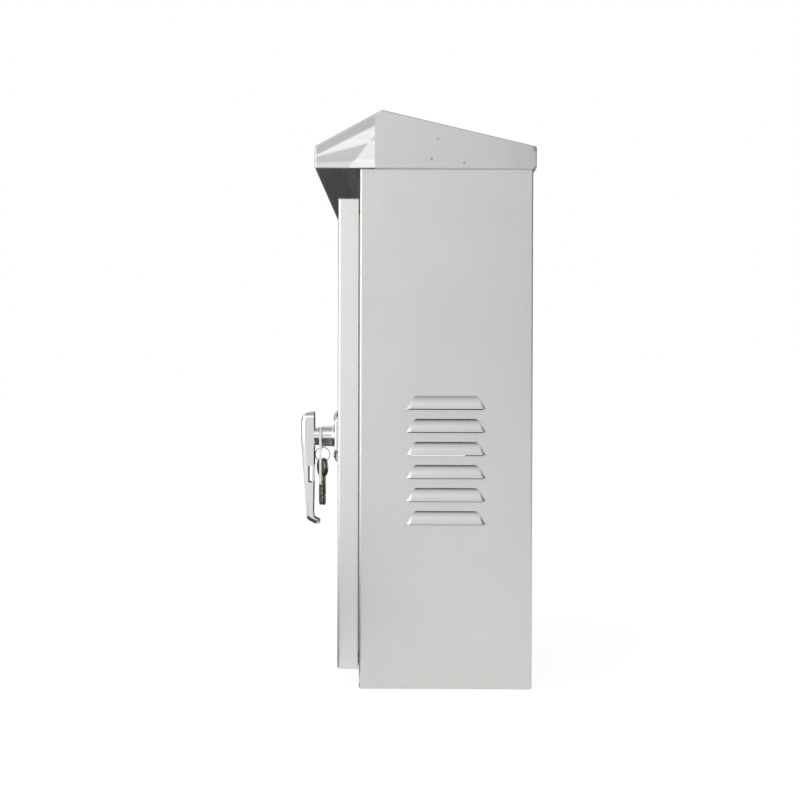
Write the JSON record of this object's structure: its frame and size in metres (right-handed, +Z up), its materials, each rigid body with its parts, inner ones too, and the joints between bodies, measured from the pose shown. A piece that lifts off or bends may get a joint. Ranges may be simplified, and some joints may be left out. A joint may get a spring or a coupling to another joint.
{
  "type": "roadside utility cabinet",
  "caption": "Wall-mounted outdoor stainless-steel utility cabinet with a pitched rain roof, a hinged door with a turning lever lock and side louvres.",
  "frame": {"origin": "centre of the body's base, on its lower face", "axes": "+Z up, +Y from the door towards the back, +X to the right seen from the front"},
  "size_m": [0.514, 0.2749, 0.6678],
  "materials": {
    "stainless_sheet": "cold-rolled matt stainless sheet",
    "stainless_hinge": "turned and pressed stainless steel",
    "chromed_zinc": "satin chrome on die-cast zinc",
    "nickel_brass": "nickel-plated brass",
    "brass": "turned brass",
    "key_metal": "nickel-plated, slightly worn",
    "natural_nylon": "natural nylon",
    "black_rubber": "black rubber",
    "galvanised_steel": "galvanised steel sheet",
    "zinc_steel": "zinc-plated steel"
  },
  "bodies": {
    "cabinet": {"body_shell": "stainless_sheet", "roof_front": "stainless_sheet", "roof_rear": "stainless_sheet", "roof_screws": "zinc_steel", "roof_weld_nuts": "zinc_steel", "cable_plate": "stainless_sheet", "cable_plate_studs": "zinc_steel", "cable_plate_nuts": "zinc_steel", "cable_grommet_1": "black_rubber", "cable_grommet_2": "black_rubber", "cable_grommet_3": "black_rubber", "mounting_plate": "galvanised_steel", "plate_studs": "zinc_steel", "plate_washers": "zinc_steel", "plate_nuts": "zinc_steel", "earth_stud": "zinc_steel", "earth_washer": "zinc_steel", "earth_nut": "zinc_steel", "hinge_body_leaf_lower": "stainless_hinge", "hinge_body_leaf_upper": "stainless_hinge", "hinge_pin_lower": "stainless_hinge", "hinge_pin_upper": "stainless_hinge", "hinge_washer_lower": "brass", "hinge_washer_upper": "brass"},
    "door": {"door_panel": "stainless_sheet", "door_gasket": "black_rubber", "hinge_door_leaf_lower": "stainless_hinge", "hinge_door_leaf_upper": "stainless_hinge", "hinge_screws": "zinc_steel", "hinge_nuts": "zinc_steel", "lock_seal": "black_rubber", "lock_housing": "chromed_zinc", "lock_screws": "zinc_steel", "lock_nuts": "zinc_steel"},
    "lever": {"lever_handle": "chromed_zinc", "lock_cylinder": "nickel_brass", "spindle": "zinc_steel", "spindle_pin": "zinc_steel", "cam_spacer": "zinc_steel", "latch_cam": "zinc_steel", "cam_washer": "zinc_steel", "cam_nut": "zinc_steel"},
    "key_plug": {"key_plug": "nickel_brass"},
    "keys": {"key_tie": "natural_nylon", "key_ring": "key_metal", "key_1": "key_metal", "key_2": "key_metal"}
  },
  "joints": [
    {"name": "door_hinge", "type": "hinge", "parent": "cabinet", "child": "door", "pos_m": [-0.2371, -0.1056, 0.295], "axis": [0, 0, -1], "range_deg": [0, 110]},
    {"name": "handle_turn", "type": "hinge", "parent": "door", "child": "lever", "pos_m": [0.1865, -0.13, 0.29], "axis": [0, 1, 0], "range_deg": [0, 90]},
    {"name": "key_plug_turn", "type": "hinge", "parent": "lever", "child": "key_plug", "pos_m": [0.1865, -0.16, 0.29], "axis": [0, 1, 0], "range_deg": [0, 90]},
    {"name": "keys_swing", "type": "hinge", "parent": "door", "child": "keys", "pos_m": [0.1865, -0.1484, 0.29], "axis": [0, 1, 0], "range_deg": [-60, 60]}
  ]
}
